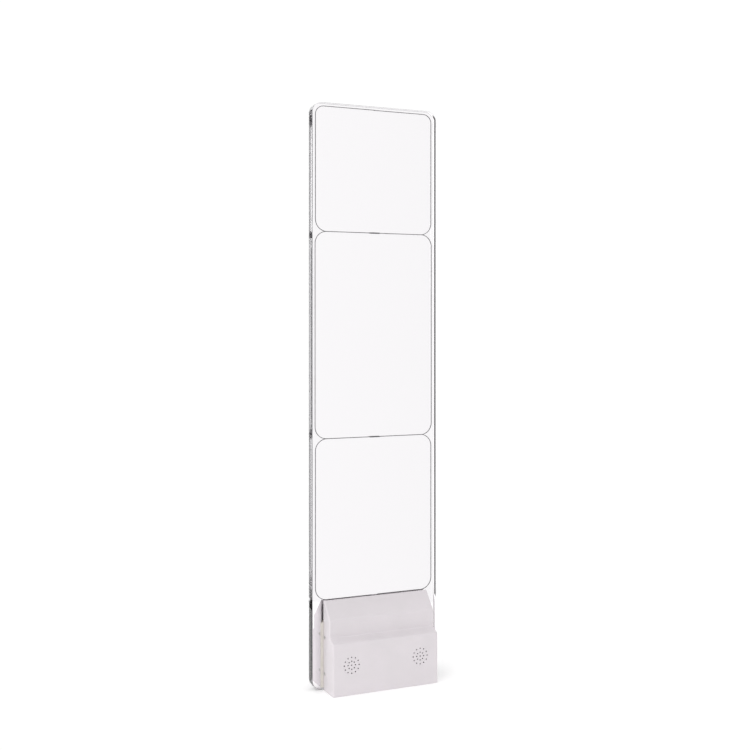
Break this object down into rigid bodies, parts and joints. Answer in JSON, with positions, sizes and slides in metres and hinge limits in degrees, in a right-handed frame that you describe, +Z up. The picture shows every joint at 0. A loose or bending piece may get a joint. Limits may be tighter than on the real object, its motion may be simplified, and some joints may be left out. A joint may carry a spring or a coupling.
{
  "type": "security gate",
  "caption": "Clear acrylic anti-theft antenna pedestal with looped conductor, clamped between brackets in a two-part grey base with speaker grilles.",
  "frame": {"origin": "on the floor under the middle of the panel and base", "axes": "+X along the panel's width, +Y to the rear, +Z up the panel"},
  "size_m": [0.375, 0.174, 1.6],
  "materials": {
    "acrylic": "clear cast acrylic, polished faces and edges",
    "antenna_conductor": "tinned flat strand, satin grey",
    "crossover_sleeve": "dark grey heat-shrink sleeve",
    "cover_plastic": "warm light grey moulded ABS, fine satin texture",
    "bracket_steel": "beige powder coat on folded steel",
    "zinc_steel": "zinc-plated fasteners",
    "pad_rubber": "black rubber",
    "seal_strip": "light beige sealing strip",
    "speaker_basket": "black painted pressed steel",
    "ferrite": "dark sintered ferrite",
    "cone_paper": "black coated paper",
    "gasket_foam": "closed-cell foam",
    "board_laminate": "green solder mask",
    "light_board": "white solder mask",
    "led_lens": "red tinted epoxy",
    "core_steel": "varnished steel laminations",
    "winding_tape": "yellow polyester tape",
    "capacitor_sleeve": "dark sleeve with bare end",
    "heatsink_aluminium": "bare extruded aluminium",
    "chip_epoxy": "black moulding compound",
    "terminal_plastic": "green polyamide",
    "switch_plastic": "black polyamide",
    "trimmer_plastic": "blue housing",
    "rotor_plastic": "white rotor",
    "fuse_glass": "clear glass tube",
    "clip_brass": "tinned brass spring clips",
    "lead_jacket": "black PVC jacket",
    "lead_red": "red PVC jacket"
  },
  "bodies": {
    "frame": {"front_sheet": "acrylic", "rear_sheet": "acrylic", "antenna_conductor": "antenna_conductor", "crossover_sleeves": "crossover_sleeve", "feed_connector": "switch_plastic", "front_bracket": "bracket_steel", "rear_bracket": "bracket_steel", "clamp_pads": "pad_rubber", "clamp_bolts": "zinc_steel", "clamp_washers": "zinc_steel", "clamp_nuts": "zinc_steel", "seal_strips": "seal_strip", "cable_grommet": "pad_rubber", "speaker_mounts": "bracket_steel", "speaker_mount_screws": "zinc_steel", "speaker_frames": "speaker_basket", "speaker_magnets": "ferrite", "speaker_gaskets": "gasket_foam", "speaker_screws": "zinc_steel", "alarm_light_board": "light_board", "alarm_leds": "led_lens", "main_board": "board_laminate", "board_standoffs": "zinc_steel", "board_screws": "zinc_steel", "transformer_core": "core_steel", "transformer_winding": "winding_tape", "smoothing_capacitors": "capacitor_sleeve", "heatsink": "heatsink_aluminium", "power_transistors": "chip_epoxy", "signal_chips": "chip_epoxy", "terminal_blocks": "terminal_plastic", "terminal_screws": "zinc_steel", "trimmer_housings": "trimmer_plastic", "mode_switch_body": "switch_plastic", "reset_switch_body": "switch_plastic", "power_switch_body": "switch_plastic", "fuse_clips": "clip_brass", "fuse": "fuse_glass", "status_leds": "led_lens", "entry_plate": "bracket_steel", "entry_plate_screws": "zinc_steel", "cable_gland": "pad_rubber", "antenna_lead": "lead_jacket", "alarm_light_lead": "lead_red", "speaker_leads": "lead_jacket"},
    "front_cover": {"front_cover": "cover_plastic", "front_cover_screws": "zinc_steel", "front_cover_nuts": "zinc_steel"},
    "rear_cover": {"rear_cover": "cover_plastic", "rear_cover_screws": "zinc_steel", "rear_cover_nuts": "zinc_steel"},
    "left_speaker_cone": {"left_speaker_cone": "cone_paper"},
    "right_speaker_cone": {"right_speaker_cone": "cone_paper"},
    "sensitivity_trimmer": {"sensitivity_trimmer": "rotor_plastic"},
    "volume_trimmer": {"volume_trimmer": "rotor_plastic"},
    "mode_switch_slider": {"mode_switch_slider": "rotor_plastic"},
    "reset_button": {"reset_button": "led_lens"},
    "power_rocker": {"power_rocker": "switch_plastic"}
  },
  "joints": [
    {"name": "front_cover_slide", "type": "slide", "parent": "frame", "child": "front_cover", "axis": [0, -1, 0], "range_m": [0, 0.12]},
    {"name": "rear_cover_slide", "type": "slide", "parent": "frame", "child": "rear_cover", "axis": [0, 1, 0], "range_m": [0, 0.12]},
    {"name": "left_cone_travel", "type": "slide", "parent": "frame", "child": "left_speaker_cone", "axis": [0, -1, 0], "range_m": [-0.0015, 0.0015], "stiffness_N_per_m": 900},
    {"name": "right_cone_travel", "type": "slide", "parent": "frame", "child": "right_speaker_cone", "axis": [0, -1, 0], "range_m": [-0.0015, 0.0015], "stiffness_N_per_m": 900},
    {"name": "sensitivity_turn", "type": "hinge", "parent": "frame", "child": "sensitivity_trimmer", "pos_m": [-0.095, 0.0406, 0.108], "axis": [0, 1, 0], "range_deg": [-135, 135]},
    {"name": "volume_turn", "type": "hinge", "parent": "frame", "child": "volume_trimmer", "pos_m": [-0.095, 0.0406, 0.088], "axis": [0, 1, 0], "range_deg": [-135, 135]},
    {"name": "mode_switch_throw", "type": "slide", "parent": "frame", "child": "mode_switch_slider", "axis": [1, 0, 0], "range_m": [0, 0.003]},
    {"name": "reset_press", "type": "slide", "parent": "frame", "child": "reset_button", "axis": [0, -1, 0], "range_m": [0, 0.0012], "stiffness_N_per_m": 600, "springref_m": -0.001},
    {"name": "power_rock", "type": "hinge", "parent": "frame", "child": "power_rocker", "pos_m": [0.096, 0.044, 0.116], "axis": [1, 0, 0], "range_deg": [0, 20]}
  ]
}
